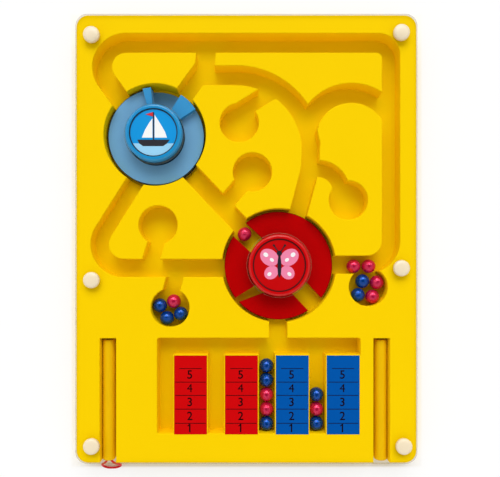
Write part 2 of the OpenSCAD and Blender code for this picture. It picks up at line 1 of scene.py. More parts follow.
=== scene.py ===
# %% [markdown]
# A magnetic bead maze, piece by piece
# The toy is a painted board with channels cut in it, closed by a clear cover. Painted steel balls
# run in the channels, two turntables pass them on, and two wooden pens drag them with a magnet.
# The CAD model already holds every solid in its place, so this lesson only dresses it: edges are
# eased, small pieces are turned, prints are added and each surface gets its paint.

import math

import bmesh
import bpy
from mathutils import Euler, Matrix, Vector


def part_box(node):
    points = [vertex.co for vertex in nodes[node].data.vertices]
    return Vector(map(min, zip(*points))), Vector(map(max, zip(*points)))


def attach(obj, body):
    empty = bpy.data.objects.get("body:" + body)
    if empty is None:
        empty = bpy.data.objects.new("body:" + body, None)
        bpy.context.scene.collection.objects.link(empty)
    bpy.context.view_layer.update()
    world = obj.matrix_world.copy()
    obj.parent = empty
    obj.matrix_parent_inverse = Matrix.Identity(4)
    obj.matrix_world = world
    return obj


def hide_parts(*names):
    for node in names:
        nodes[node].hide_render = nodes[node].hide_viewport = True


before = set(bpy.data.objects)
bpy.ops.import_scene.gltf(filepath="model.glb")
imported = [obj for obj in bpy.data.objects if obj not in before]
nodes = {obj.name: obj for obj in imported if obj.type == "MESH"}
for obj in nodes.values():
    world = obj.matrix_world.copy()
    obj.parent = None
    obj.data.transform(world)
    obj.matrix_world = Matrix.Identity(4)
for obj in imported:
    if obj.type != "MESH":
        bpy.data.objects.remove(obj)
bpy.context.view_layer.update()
MM = 0.001

# %% [markdown]
# The camera
# The picture was taken from straight above, so the camera looks down with no turn at all. The
# lens is moved up a little in its mount, which keeps the board's edges straight while the view
# stands nearer to the lower half, as a shifted lens does on a copy stand.

# %% Camera
LENS, SENSOR_W, SHIFT = 36.64, 36.0, (0.010, 0.073)
EYE = (-0.94 * MM, -24.1 * MM, 358 * MM)
camera_data = bpy.data.cameras.new("camera")
camera_data.lens = LENS
camera_data.sensor_width = SENSOR_W
camera_data.shift_x, camera_data.shift_y = SHIFT
camera = bpy.data.objects.new("camera", camera_data)
camera.location = EYE
bpy.context.collection.objects.link(camera)
scene = bpy.context.scene
scene.camera = camera
scene.view_settings.view_transform = "Standard"
print("camera:", tuple(round(v, 4) for v in camera.location))

# %% [markdown]
# A way to finish each piece
# Every piece ends the same way: its mesh becomes an object at the origin, takes its materials and
# rides on a body. Faces are shaded smooth except where they turn by more than a given angle, so a
# turned piece looks round while a sawn one keeps its flat faces beside the narrow eased edge. A
# copy of a CAD solid also drops the normals it was packed with, because its faces have changed.
# A CAD solid that stays as it is only changes its material.

# %% Finish a piece
ROUND_TURN, SAWN_TURN = math.radians(50), math.radians(20)
LEVEL = 0.999


def finish_piece(bm, name, body, materials, stands_for=(), turn=ROUND_TURN):
    bmesh.ops.recalc_face_normals(bm, faces=bm.faces)
    mesh = bpy.data.meshes.new(name)
    bm.to_mesh(mesh)
    bm.free()
    if "custom_normal" in mesh.attributes:
        mesh.attributes.remove(mesh.attributes["custom_normal"])
    for material in materials:
        mesh.materials.append(material)
    for polygon in mesh.polygons:
        polygon.use_smooth = turn == ROUND_TURN or abs(polygon.normal.z) < LEVEL
    mesh.set_sharp_from_angle(angle=turn)
    piece = bpy.data.objects.new(name, mesh)
    bpy.context.collection.objects.link(piece)
    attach(piece, body)
    if stands_for:
        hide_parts(*stands_for)
    return piece


def paint_node(node, material):
    nodes[node].data.materials.clear()
    nodes[node].data.materials.append(material)


def closed(bm):
    return all(edge.is_manifold for edge in bm.edges)


# %% [markdown]
# Colours as they are written
# Blender's shaders work in linear light, while a paint is easier to name by its value on a
# screen. One small function turns the one into the other.

# %% Name a colour
INK_FULL, INK_KNEE, INK_SLOPE, INK_OFFSET, INK_POWER = 255, 0.04045, 12.92, 0.055, 2.4


def ink(red, green, blue):
    def linear(value):
        share = value / INK_FULL
        if share <= INK_KNEE:
            return share / INK_SLOPE
        return ((share + INK_OFFSET) / (1 + INK_OFFSET)) ** INK_POWER

    return (linear(red), linear(green), linear(blue), 1.0)


# %% [markdown]
# A painted skin
# Spray paint and moulded plastic are never one flat colour: the coat drifts a little in tone and
# gloss over a few centimetres and has a fine orange peel. Each paint could have its own nodes,
# but one group with named inputs gives them all the same believable drift.

# %% Painted skin group
def new_group(name, inputs, outputs):
    group = bpy.data.node_groups.new(name, "ShaderNodeTree")
    for label, kind, value in inputs:
        socket = group.interface.new_socket(label, in_out="INPUT", socket_type=kind)
        socket.default_value = value
    for label, kind in outputs:
        group.interface.new_socket(label, in_out="OUTPUT", socket_type=kind)
    return group, group.nodes.new("NodeGroupInput"), group.nodes.new("NodeGroupOutput")


def add_node(tree, kind, links=None, **settings):
    node = tree.nodes.new(kind)
    for key, value in settings.items():
        setattr(node, key, value)
    for socket, source in (links or {}).items():
        if isinstance(source, bpy.types.NodeSocket):
            tree.links.new(source, node.inputs[socket])
        else:
            node.inputs[socket].default_value = source
    return node


def maths(tree, operation, *values):
    node = add_node(tree, "ShaderNodeMath", dict(enumerate(values)), operation=operation)
    return node.outputs[0]


# A mix node has sockets for every kind of data. These are the places of the ones for colours.
MIX_SHARE, MIX_BELOW, MIX_ABOVE, MIX_RESULT = 0, 6, 7, 2


def pick_colour(tree, share, below, above):
    node = add_node(tree, "ShaderNodeMix",
                    {MIX_SHARE: share, MIX_BELOW: below, MIX_ABOVE: above}, data_type="RGBA")
    return node.outputs[MIX_RESULT]


FLOAT, COLOUR = "NodeSocketFloat", "NodeSocketColor"
PATCH_DETAIL, PEEL_DETAIL, NOISE_MIDDLE = 3.0, 2.0, 0.5
skin, skin_in, skin_out = new_group(
    "painted_skin",
    [("Colour", COLOUR, (0.8, 0.8, 0.8, 1)), ("Tone Drift", FLOAT, 0.1), ("Gloss", FLOAT, 0.4),
     ("Gloss Drift", FLOAT, 0.1), ("Patch Scale", FLOAT, 30), ("Peel Scale", FLOAT, 900)],
    [("Colour", COLOUR), ("Roughness", FLOAT), ("Peel", FLOAT)],
)
spot = add_node(skin, "ShaderNodeTexCoord").outputs["Object"]
patch = add_node(skin, "ShaderNodeTexNoise",
                 {"Vector": spot, "Scale": skin_in.outputs["Patch Scale"],
                  "Detail": PATCH_DETAIL})
swing = maths(skin, "SUBTRACT", patch.outputs["Fac"], NOISE_MIDDLE)
tone = maths(skin, "MULTIPLY_ADD", swing, skin_in.outputs["Tone Drift"], 1.0)
gloss = maths(skin, "MULTIPLY_ADD", swing, skin_in.outputs["Gloss Drift"],
              skin_in.outputs["Gloss"])
toned = add_node(skin, "ShaderNodeHueSaturation",
                 {"Value": tone, "Color": skin_in.outputs["Colour"]})
peel = add_node(skin, "ShaderNodeTexNoise",
                {"Vector": spot, "Scale": skin_in.outputs["Peel Scale"], "Detail": PEEL_DETAIL})
skin.links.new(toned.outputs["Color"], skin_out.inputs["Colour"])
skin.links.new(gloss, skin_out.inputs["Roughness"])
skin.links.new(peel.outputs["Fac"], skin_out.inputs["Peel"])
print("group:", skin.name, [item.name for item in skin.interface.items_tree])

# %% [markdown]
# Paints and plastics
# A finish is the skin group plus the few values that are the same all over, which sit on the
# shader itself: how strong the clear coat is, how metallic the paint is, and how much of the room
# it mirrors and in which colour. Finishes of one kind share a set of values and differ in colour.

# %% Make a finish
PEEL_STRENGTH, COAT_GLOSS = 0.5, 0.08


def finish(name, colour, drift=0.1, gloss=0.4, gloss_drift=0.1, patch=30, peel=900,
           depth=0.02, coat=0.0, metal=0.0, shine=0.5, sheen=0.0, glance=(1, 1, 1, 1)):
    material = bpy.data.materials.new(name)
    material.use_nodes = True
    tree = material.node_tree
    shader = tree.nodes["Principled BSDF"]
    layer = add_node(tree, "ShaderNodeGroup", node_tree=skin)
    for socket, value in (("Colour", colour), ("Tone Drift", drift), ("Gloss", gloss),
                          ("Gloss Drift", gloss_drift), ("Patch Scale", patch),
                          ("Peel Scale", peel)):
        layer.inputs[socket].default_value = value
    bump = add_node(tree, "ShaderNodeBump",
                    {"Strength": PEEL_STRENGTH, "Distance": depth * MM,
                     "Height": layer.outputs["Peel"]})
    tree.links.new(layer.outputs["Colour"], shader.inputs["Base Color"])
    tree.links.new(layer.outputs["Roughness"], shader.inputs["Roughness"])
    tree.links.new(bump.outputs["Normal"], shader.inputs["Normal"])
    shader.inputs["Metallic"].default_value = metal
    shader.inputs["Specular IOR Level"].default_value = shine
    shader.inputs["Specular Tint"].default_value = glance
    shader.inputs["Coat Weight"].default_value = coat
    shader.inputs["Coat Roughness"].default_value = COAT_GLOSS
    shader.inputs["Sheen Weight"].default_value = sheen
    return material


SPRAYED = dict(gloss=0.5, gloss_drift=0.12, patch=22, peel=800, depth=0.03, shine=0.015)
PAPER = dict(drift=0.05, gloss=0.55, patch=80, peel=2500, depth=0.01, shine=0.03)
MOULDED = dict(drift=0.06, gloss=0.30, patch=40, peel=600, depth=0.01)
LACQUER = dict(drift=0.15, gloss=0.22, gloss_drift=0.08, patch=900, peel=6000, depth=0.004,
               coat=0.45, metal=0.5)
METAL = dict(patch=300, peel=4000)

board_paint = finish("board_paint", ink(251, 209, 3), drift=0.04, **SPRAYED)
floor_paint = finish("floor_paint", ink(244, 207, 3), drift=0.05, **SPRAYED)
pen_paint = finish("pen_paint", ink(236, 188, 4), drift=0.08, patch=60, shine=0.06)
label_red = finish("label_red", ink(207, 5, 9), **PAPER)
label_blue = finish("label_blue", ink(0, 84, 168), **PAPER)
label_print = finish("label_print", ink(20, 6, 8), **dict(PAPER, drift=0.1, gloss=0.6, patch=200))
blue_plastic = finish("blue_plastic", ink(26, 140, 198), shine=0.1, **MOULDED)
red_plastic = finish("red_plastic", ink(202, 8, 12), shine=0.05, **MOULDED)
cap_white = finish("cap_white", ink(240, 223, 190), drift=0.04, gloss=0.3, patch=90, depth=0.01)
bead_blue = finish("bead_blue", ink(3, 66, 150), glance=ink(40, 140, 255), **LACQUER)
bead_red = finish("bead_red", ink(208, 24, 74), glance=ink(255, 185, 210), **LACQUER)
steel = finish("steel", ink(190, 192, 196), drift=0.08, gloss=0.28, depth=0.004, metal=1.0,
               **METAL)
magnet_grey = finish("magnet_grey", ink(70, 70, 74), drift=0.15, gloss=0.45, depth=0.01, metal=0.8,
                     **METAL)
print("finishes:", len(bpy.data.materials))

# %% [markdown]
# The pen's cord
# A short red cord is knotted into the end of the left pen and makes a small loop past the edge of
# the board. It could be a plain tube, but a cord is twisted from strands. A curve takes a
# three-lobed profile that turns along it, and the result is made a mesh that follows the same
# points as the CAD solid.

# %% Cord route
PEN_END = Vector((-93.85, -150.0, 0.0))
PEN_AXIS_Z, CORD_LIE_Z, CORD_D = 9.5, 0.9, 1.5
CORD_STEPS = [
    (-1.15, 4, 1), (-1.15, 2, 1), (-1.15, 0, 1), (-2.3, -2, 0.95), (-4, -3.6, 0.78),
    (-5.7, -5.2, 0.5), (-6.4, -6.9, 0.2), (-5.5, -8.4, 0.02), (-3.2, -9.1, 0), (-0.3, -9.2, 0),
    (2.6, -9, 0), (5, -8.2, 0.03), (6.2, -6.8, 0.2), (6, -5.3, 0.46), (4.8, -4.2, 0.7),
    (3.3, -3.2, 0.87), (2, -1.7, 0.97), (1.15, 0, 1), (1.15, 2, 1), (1.15, 4, 1),
]
cord_route = [
    (PEN_END + Vector((x, y, high * PEN_AXIS_Z + (1 - high) * CORD_LIE_Z))) * MM
    for x, y, high in CORD_STEPS
]
print("cord points:", len(cord_route))

# %% Twist the cord
STRANDS, LAY, LOBE_DEPTH, LOBE_POINTS = 3, 4.2, 0.08, 24
CURVE_STEPS, CORD_MERGE = 10, 0.001 * MM


def mesh_of(holder):
    shape = holder.evaluated_get(bpy.context.evaluated_depsgraph_get())
    return bpy.data.meshes.new_from_object(shape)


def open_curve(name, points, twist_per_mm):
    data = bpy.data.curves.new(name, "CURVE")
    data.dimensions = "3D"
    data.resolution_u = CURVE_STEPS
    spline = data.splines.new("BEZIER")
    spline.bezier_points.add(len(points) - 1)
    run = 0.0
    for index, (knot, point) in enumerate(zip(spline.bezier_points, points)):
        run += (point - points[max(index - 1, 0)]).length / MM
        knot.co = point
        knot.handle_left_type = knot.handle_right_type = "AUTO"
        knot.tilt = run * twist_per_mm
    holder = bpy.data.objects.new(name, data)
    bpy.context.collection.objects.link(holder)
    return holder


profile_data = bpy.data.curves.new("cord_profile", "CURVE")
lobes = profile_data.splines.new("POLY")
lobes.points.add(LOBE_POINTS - 1)
lobes.use_cyclic_u = True
for step, point in enumerate(lobes.points):
    turn = math.tau * step / LOBE_POINTS
    swell = 1 - LOBE_DEPTH + LOBE_DEPTH * abs(math.cos(STRANDS * turn / 2))
    reach = CORD_D / 2 * swell * MM
    point.co = (reach * math.cos(turn), reach * math.sin(turn), 0, 1)
cord_profile = bpy.data.objects.new("cord_profile", profile_data)
bpy.context.collection.objects.link(cord_profile)
guide = open_curve("cord_guide", cord_route, math.tau / LAY)
cord_path = [vertex.co.copy() for vertex in mesh_of(guide).vertices]
guide.data.bevel_mode = "OBJECT"
guide.data.bevel_object = cord_profile
guide.data.use_fill_caps = True
cord_mesh = mesh_of(guide)
for holder in (guide, cord_profile):
    bpy.data.objects.remove(holder)

# %% Hang the cord on its pen
cord_red = finish("cord_red", ink(228, 26, 38), drift=0.2, gloss=0.85, patch=1500, peel=5000,
                  depth=0.03, shine=0.2, sheen=0.3)
bm = bmesh.new()
bm.from_mesh(cord_mesh)
bmesh.ops.remove_doubles(bm, verts=bm.verts, dist=CORD_MERGE)
cord = finish_piece(bm, "pen_cord", "left_pen", [cord_red], ["left_pen_cord"])
print("cord rides on left_pen")

# %% [markdown]
# The board and its islands
# The layer with the channels is sawn from sheet, sanded and sprayed, so every upper edge is
# slightly round and catches a thin line of light. The CAD solids have the true outlines but
# sharp edges. A copy of each is merged, and only the edges between the upper face and a wall are
# bevelled, which keeps the outline exactly where it was. The shallow beds of the labels stay
# sharp, because the strips of wood beside them are narrower than two eased edges.

# %% Ease the edges of a solid
MERGE, SAME_LEVEL, SHARP_TURN = 0.005 * MM, 0.02 * MM, math.radians(60)
EASE_STEPS = 2
COLUMNS = range(1, 5)
LABEL_BEDS = [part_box(f"number_label_{column}") for column in COLUMNS]
BED_REACH = 0.3 * MM


def in_label_bed(vertex):
    return any(low.x - BED_REACH < vertex.co.x < high.x + BED_REACH
               and low.y - BED_REACH < vertex.co.y < high.y + BED_REACH
               for low, high in LABEL_BEDS)


def rim_edges(bm, heights):
    def on_rim(edge):
        if not edge.is_manifold or edge.calc_face_angle(0) < SHARP_TURN:
            return False
        levels = [vertex.co.z for vertex in edge.verts]
        level = any(max(abs(z - height) for z in levels) < SAME_LEVEL for height in heights)
        return level and not all(in_label_bed(vertex) for vertex in edge.verts)

    return [edge for edge in bm.edges if on_rim(edge)]


def eased_copy(node, name, body, materials, ease, heights):
    bm = bmesh.new()
    bm.from_mesh(nodes[node].data)
    bmesh.ops.remove_doubles(bm, verts=bm.verts, dist=MERGE)
    edges = rim_edges(bm, heights)
    bmesh.ops.bevel(bm, geom=edges, offset=ease, offset_type="OFFSET", affect="EDGES",
                    segments=EASE_STEPS, profile=0.5, material=-1, clamp_overlap=False,
                    loop_slide=False)
    print(name, "edges eased:", len(edges), "closed:", closed(bm))
    return finish_piece(bm, name, body, materials, [node], SAWN_TURN)


# %% Ease the board
base_low, base_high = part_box("base_panel")
layer_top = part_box("outer_frame")[1].z
EDGE_EASE = 0.45 * MM
eased_copy("base_panel", "board_base", "board", [floor_paint], EDGE_EASE,
           [base_low.z])
for node in ("outer_frame", "top_left_island", "top_right_island", "centre_island",
             "right_island", "lower_left_island"):
    eased_copy(node, node + "_eased", "board", [board_paint], EDGE_EASE,
               [layer_top])

# %% [markdown]
# The steel balls
# Each ball is pressed from wire and painted with a pearly lacquer, and the press leaves a hair
# line round its middle. A ball could be one sphere, but the fine seam is what shows it turn. The
# equator's edges are bevelled into a narrow band, and the band's middle ring is drawn in.

# %% Ball with a seam
SEAM_W, SEAM_SHARE, ON_WAIST = 0.10 * MM, 0.988, 1e-6
BALL_SIDES, BALL_RINGS = 40, 24
FIRST_LEAN, NEXT_LEAN = Vector((0.5, 0.3, 0.0)), Vector((1.1, 0.7, 0.0))
BEAD_ROWS = {
    "left_store_bead": ["blue", "blue", "blue", "red"],
    "right_store_bead": ["blue", "red", "red", "blue"],
    "lane_bead": ["red", "red"],
    "column_3_bead": ["blue", "red", "red", "blue", "blue"],
    "column_4_bead": ["blue", "red", "blue"],
    "turntable_bead": ["red"],
}


def seamed_ball(radius):
    bm = bmesh.new()
    bmesh.ops.create_uvsphere(bm, u_segments=BALL_SIDES, v_segments=BALL_RINGS, radius=radius)
    waist = [e for e in bm.edges if all(abs(v.co.z) < ON_WAIST for v in e.verts)]
    bmesh.ops.bevel(bm, geom=waist, offset=SEAM_W, offset_type="OFFSET", affect="EDGES",
                    segments=EASE_STEPS, profile=0.5, material=-1)
    ring = [v for v in bm.verts if abs(v.co.z) < ON_WAIST]
    bmesh.ops.scale(bm, verts=ring, vec=(SEAM_SHARE, SEAM_SHARE, 1))
    return bm


made = 0
for row, colours in BEAD_ROWS.items():
    for place, colour in enumerate(colours, 1):
        node = row if len(colours) == 1 else f"{row}_{place}"
        low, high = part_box(node)
        bm = seamed_ball((high.z - low.z) / 2)
        lean = Euler(FIRST_LEAN + NEXT_LEAN * made).to_matrix()
        bmesh.ops.rotate(bm, verts=bm.verts, cent=(0, 0, 0), matrix=lean)
        bmesh.ops.translate(bm, verts=bm.verts, vec=(low + high) / 2)
        finish_piece(bm, node + "_ball", node,
                     [bead_blue if colour == "blue" else bead_red], [node])
        made += 1
print("balls:", made)

# %% [markdown]
# The screw caps
# Six white caps hide the screws that hold the cover. They are turned shapes, so half a profile is
# spun round the screw's axis: a flat seat, a short straight skirt, a rounded shoulder and a low
# dome on top.

# %% Turn the caps
def lathe(profile, steps):
    bm = bmesh.new()
    knots = [bm.verts.new((r, 0, z)) for r, z in profile]
    edges = [bm.edges.new(pair) for pair in zip(knots, knots[1:])]
    bmesh.ops.spin(bm, geom=knots + edges, cent=(0, 0, 0), axis=(0, 0, 1), angle=math.tau,
                   steps=steps, use_merge=True)
    bmesh.ops.remove_doubles(bm, verts=bm.verts, dist=MERGE)
    return bm


caps_low, caps_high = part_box("screw_caps")
CAP_R, CAP_SIDES = 5.4 * MM, 48
CAP_H = caps_high.z - caps_low.z
CAP_SPOTS = [(-103, 135.6), (103, 137), (-103, -27.5), (103, -19.6), (-103, -138), (104.6, -138)]
CAP_PROFILE = [(0, 0), (0.97, 0), (1, 0.06), (1, 0.42), (0.985, 0.56), (0.93, 0.71),
               (0.82, 0.83), (0.64, 0.92), (0.40, 0.98), (0.18, 1.0), (0, 1.0)]
bm = bmesh.new()
for x, y in CAP_SPOTS:
    cap = lathe([(r * CAP_R, z * CAP_H) for r, z in CAP_PROFILE], CAP_SIDES)
    bmesh.ops.translate(cap, verts=cap.verts, vec=(x * MM, y * MM, caps_low.z))
    scrap = bpy.data.meshes.new("cap")
    cap.to_mesh(scrap)
    cap.free()
    bm.from_mesh(scrap)
    bpy.data.meshes.remove(scrap)
print("caps closed:", closed(bm))
finish_piece(bm, "screw_caps_turned", "board", [cap_white], ["screw_caps"])

# %% [markdown]
# The numbers on the labels
# Each counting column has a printed strip with the numbers one to five and a line over each cell.
# Digits come from text that is made a mesh, a little bolder than the font, and the lines are thin
# flat bars. The four stays as the font has it, because a bolder outline closes its opening, and
# the one gets a short flag, which the font leaves off. Print has almost no height, so all of it
# is only a few hundredths of a millimetre thick.

# %% Print the labels
PRINT_T, PRINT_MERGE = 0.05 * MM, 0.002 * MM
DIGIT_SIZE, DIGIT_BOLD, DIGIT_LEFT = 8.0 * MM, 0.07 * MM, 0.5 * MM
OPEN_DIGIT = "4"
DIGIT_SPOTS = {"5": -91.1, "4": -100.2, "3": -109.5, "2": -118.9, "1": -127.0}
FLAGGED_DIGIT, FLAG_L, FLAG_W, FLAG_TURN = "1", 1.9 * MM, 0.62 * MM, math.radians(40)
FLAG_STEP = Vector((-0.75 * MM, 2.2 * MM, 0))
LINE_W, RED_COLUMNS = 0.42 * MM, (1, 2)
LINE_SPOTS = {-86.8: 15.0, -95.9: 20.5, -104.8: 20.5, -114.0: 20.5, -123.5: 20.5}


def add_digit(bm, digit, place):
    data = bpy.data.curves.new("digit", "FONT")
    data.body, data.size, data.extrude = digit, DIGIT_SIZE, PRINT_T / 2
    data.align_x, data.align_y = "CENTER", "CENTER"
    data.offset = 0 if digit == OPEN_DIGIT else DIGIT_BOLD
    holder = bpy.data.objects.new("digit", data)
    bpy.context.collection.objects.link(holder)
    mesh = mesh_of(holder)
    bpy.data.objects.remove(holder)
    mesh.transform(Matrix.Translation(place))
    bm.from_mesh(mesh)
    bpy.data.meshes.remove(mesh)


def add_bar(bm, place, length, width, turn=0.0):
    bar = Matrix.LocRotScale(place, Euler((0, 0, turn)), Vector((length, width, PRINT_T)))
    bmesh.ops.create_cube(bm, size=1.0, matrix=bar)


for column in COLUMNS:
    low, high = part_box(f"number_label_{column}")
    middle, print_z = (low.x + high.x) / 2, high.z + PRINT_T / 2
    red = column in RED_COLUMNS
    slot, paint = ("label_red", label_red) if red else ("label_blue", label_blue)
    bm = bmesh.new()
    for digit, y in DIGIT_SPOTS.items():
        place = Vector((middle - DIGIT_LEFT, y * MM, print_z))
        add_digit(bm, digit, place)
        if digit == FLAGGED_DIGIT:
            add_bar(bm, place + FLAG_STEP, FLAG_L, FLAG_W, FLAG_TURN)
    for y, length in LINE_SPOTS.items():
        add_bar(bm, Vector((middle, y * MM, print_z)), length * MM, LINE_W)
    bmesh.ops.remove_doubles(bm, verts=bm.verts, dist=PRINT_MERGE)
    finish_piece(bm, f"label_print_{column}", "board", [label_print])
    paint_node(f"number_label_{column}", paint)
print("labels printed:", len(COLUMNS))

# %% [markdown]
# The pictures on the knobs
# Each knob carries a round picture under its rim: a sailing boat on the blue one and a butterfly
# on the red one. They could be painted by a texture, but shapes this simple are cleaner as thin
# inlays. Discs and straight-edged sheets are laid flat, then all of them are raised together. The
# thin dark ring round each picture is painted shade, the shadow line at the edge of the knob's
# recess.

# %% Inlay tools
INLAY_T, DISC_SIDES, ROUND_SIDES, RING_SIDES = 0.08 * MM, 36, 64, 72


def lay_disc(bm, x, y, wide, tall, turn=0.0, sides=DISC_SIDES):
    place = (Matrix.Translation((x * MM, y * MM, 0)) @ Matrix.Rotation(math.radians(turn), 4, "Z")
             @ Matrix.Diagonal((wide * MM, tall * MM, 1, 1)))
    bmesh.ops.create_circle(bm, cap_ends=True, segments=sides, radius=1.0, matrix=place)


def lay_ring(bm, inner, outer):
    rings = [bmesh.ops.create_circle(bm, segments=RING_SIDES, radius=r * MM)["verts"]
             for r in (inner, outer)]
    edges = {edge for ring in rings for vertex in ring for edge in vertex.link_edges}
    bmesh.ops.bridge_loops(bm, edges=list(edges))


def lay_sheet(bm, corners):
    bm.faces.new([bm.verts.new((x * MM, y * MM, 0)) for x, y in corners])


def raise_inlay(bm, name, knob, step, material):
    plate_low, plate_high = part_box(f"{knob}_picture_plate")
    middle = (plate_low + plate_high) / 2
    bmesh.ops.recalc_face_normals(bm, faces=bm.faces)
    for face in bm.faces:
        if face.normal.z < 0:
            face.normal_flip()
    raised = bmesh.ops.extrude_face_region(bm, geom=bm.faces[:])
    tops = [item for item in raised["geom"] if isinstance(item, bmesh.types.BMVert)]
    bmesh.ops.translate(bm, verts=tops, vec=(0, 0, INLAY_T * (step + 1)))
    bmesh.ops.translate(bm, verts=bm.verts, vec=(middle.x, middle.y, plate_high.z))
    print(name, "closed:", closed(bm))
    return finish_piece(bm, name, f"{knob}_turntable", [material])


# %% Sailing boat
PICTURE = dict(gloss=0.35, gloss_drift=0.08, patch=90, peel=2000, depth=0.006)
PLATE = dict(PICTURE, drift=0.05, patch=60)
blue_print = finish("blue_print", ink(10, 147, 218), shine=0.15, **PLATE)
sea_print = finish("sea_print", ink(150, 208, 240), drift=0.08, **PICTURE)
white_print = finish("white_print", ink(246, 246, 244), drift=0.04, **PICTURE)
dark_print = finish("dark_print", ink(26, 24, 34), drift=0.12, **PICTURE)
red_flag = finish("red_flag", ink(214, 24, 30), drift=0.06, **PICTURE)
# The last pair bounds the ring of painted shade round the picture.
SEA_R, SEA_LEVEL, BOAT_SHADE_RING = 15.6, -7.2, (15.3, 15.9)
SAILS = [
    [(0.8, -3.4), (9.0, -3.4), (7.6, 0.6), (5.2, 4.8), (2.6, 9.0), (0.8, 11.6)],
    [(-0.6, -3.4), (-0.6, 9.4), (-3.0, 6.0), (-5.6, 1.6), (-7.6, -3.4)],
]
HULL_AND_MAST = [
    [(-10.6, -4.8), (-9.2, -7.4), (-6.8, -9.0), (6.4, -9.0), (8.8, -7.4), (10.8, -4.8)],
    [(-0.3, -4.8), (0.5, -4.8), (0.5, 13.4), (-0.3, 13.4)],
]
FLAG = [[(-0.3, 13.4), (-5.2, 12.0), (-0.3, 10.6)]]

bm = bmesh.new()
lay_disc(bm, 0, 0, SEA_R, SEA_R, sides=ROUND_SIDES)
bmesh.ops.bisect_plane(bm, geom=bm.verts[:] + bm.edges[:] + bm.faces[:],
                       plane_co=(0, SEA_LEVEL * MM, 0), plane_no=(0, 1, 0), clear_outer=True)
raise_inlay(bm, "boat_sea", "blue", 0, sea_print)

for name, sheets, step, paint in (("boat_sails", SAILS, 0, white_print),
                                  ("boat_hull", HULL_AND_MAST, 1, dark_print),
                                  ("boat_flag", FLAG, 2, red_flag)):
    bm = bmesh.new()
    for corners in sheets:
        lay_sheet(bm, corners)
    raise_inlay(bm, name, "blue", step, paint)

# The dark ring is painted shade: the shadow line along the edge of the knob's recess.
bm = bmesh.new()
lay_ring(bm, *BOAT_SHADE_RING)
raise_inlay(bm, "boat_shade_ring", "blue", 1, dark_print)

# %% Butterfly
red_print = finish("red_print", ink(194, 5, 9), shine=0.1, **PLATE)
# The maroon is painted shade, used only for the ring round the butterfly.
maroon_shade = finish("maroon_shade", ink(74, 2, 6), drift=0.06, **PICTURE)
pink_print = finish("pink_print", ink(240, 132, 168), drift=0.06, **PICTURE)
WINGS = [(6.6, 5.2, 6.6, 5.2, 38), (5.4, -4.8, 4.9, 4.2, -40)]
SPOTS = [(9.0, 7.0, 1.7, 1.4, 38), (5.0, 3.6, 1.5, 1.1, 38), (6.6, -5.8, 1.5, 1.2, -40)]
BODY_AND_HEAD = [(0, -0.6, 1.25, 7.4), (0, 8.0, 1.7, 1.7)]
FEELER = [(0.5, 9.2), (1.2, 9.0), (3.8, 12.8), (3.3, 13.2)]
FEELER_TIP = (3.7, 13.2, 0.7, 0.7)
# The ring of painted shade round the butterfly.
BUTTERFLY_SHADE_RING = (16.8, 17.5)

for name, discs, step, paint in (("butterfly_wings", WINGS, 0, pink_print),
                                 ("butterfly_spots", SPOTS, 1, white_print)):
    bm = bmesh.new()
    for side in (-1, 1):
        for x, y, wide, tall, turn in discs:
            lay_disc(bm, side * x, y, wide, tall, side * turn)
    raise_inlay(bm, name, "red", step, paint)

bm = bmesh.new()
for disc in BODY_AND_HEAD:
    lay_disc(bm, *disc)
for side in (-1, 1):
    lay_sheet(bm, [(side * x, y) for x, y in FEELER])
    lay_disc(bm, side * FEELER_TIP[0], *FEELER_TIP[1:])
raise_inlay(bm, "butterfly_body", "red", 2, dark_print)

# The maroon ring is painted shade: the shadow line along the edge of the knob's recess.
bm = bmesh.new()
lay_ring(bm, *BUTTERFLY_SHADE_RING)
raise_inlay(bm, "butterfly_shade_ring", "red", 1, maroon_shade)

# %% [markdown]
# The turntables, pens and hidden parts
# These solids already have the shape that shows, down to the round edge of each knob, so they
# only take a finish. A turntable is one moulding in coloured plastic: its knob is polished where
# it stands out of the cover, its disc below is duller, and the walls of its gate are fuller in
# colour. The blue disc's pale tone is partly its plastic and partly a painted haze standing in for
# the cover's reflection. The knob's shaft and the disc's rim are darker, which is painted shade:
# the shadowed side of the shaft and the shaded gap round the disc. Several materials would need
# the faces parted, so the height of the surface and its distance from the axis pick the tone
# instead.
# The pens are painted wood.

# %% Tones and painted shade on one moulding
KNOB_POLISH, BLUE_KNOB_R, RED_KNOB_R = 0.7, 19 * MM, 20.6 * MM
# The width of the disc's rim band and the reach past the knob set where painted shade goes.
COVER_Z, GATE_Z, PAINTED_SHADE_RIM, SHADED_SHAFT_PAST = 17.5 * MM, 11.5 * MM, 0.3 * MM, 0.6 * MM


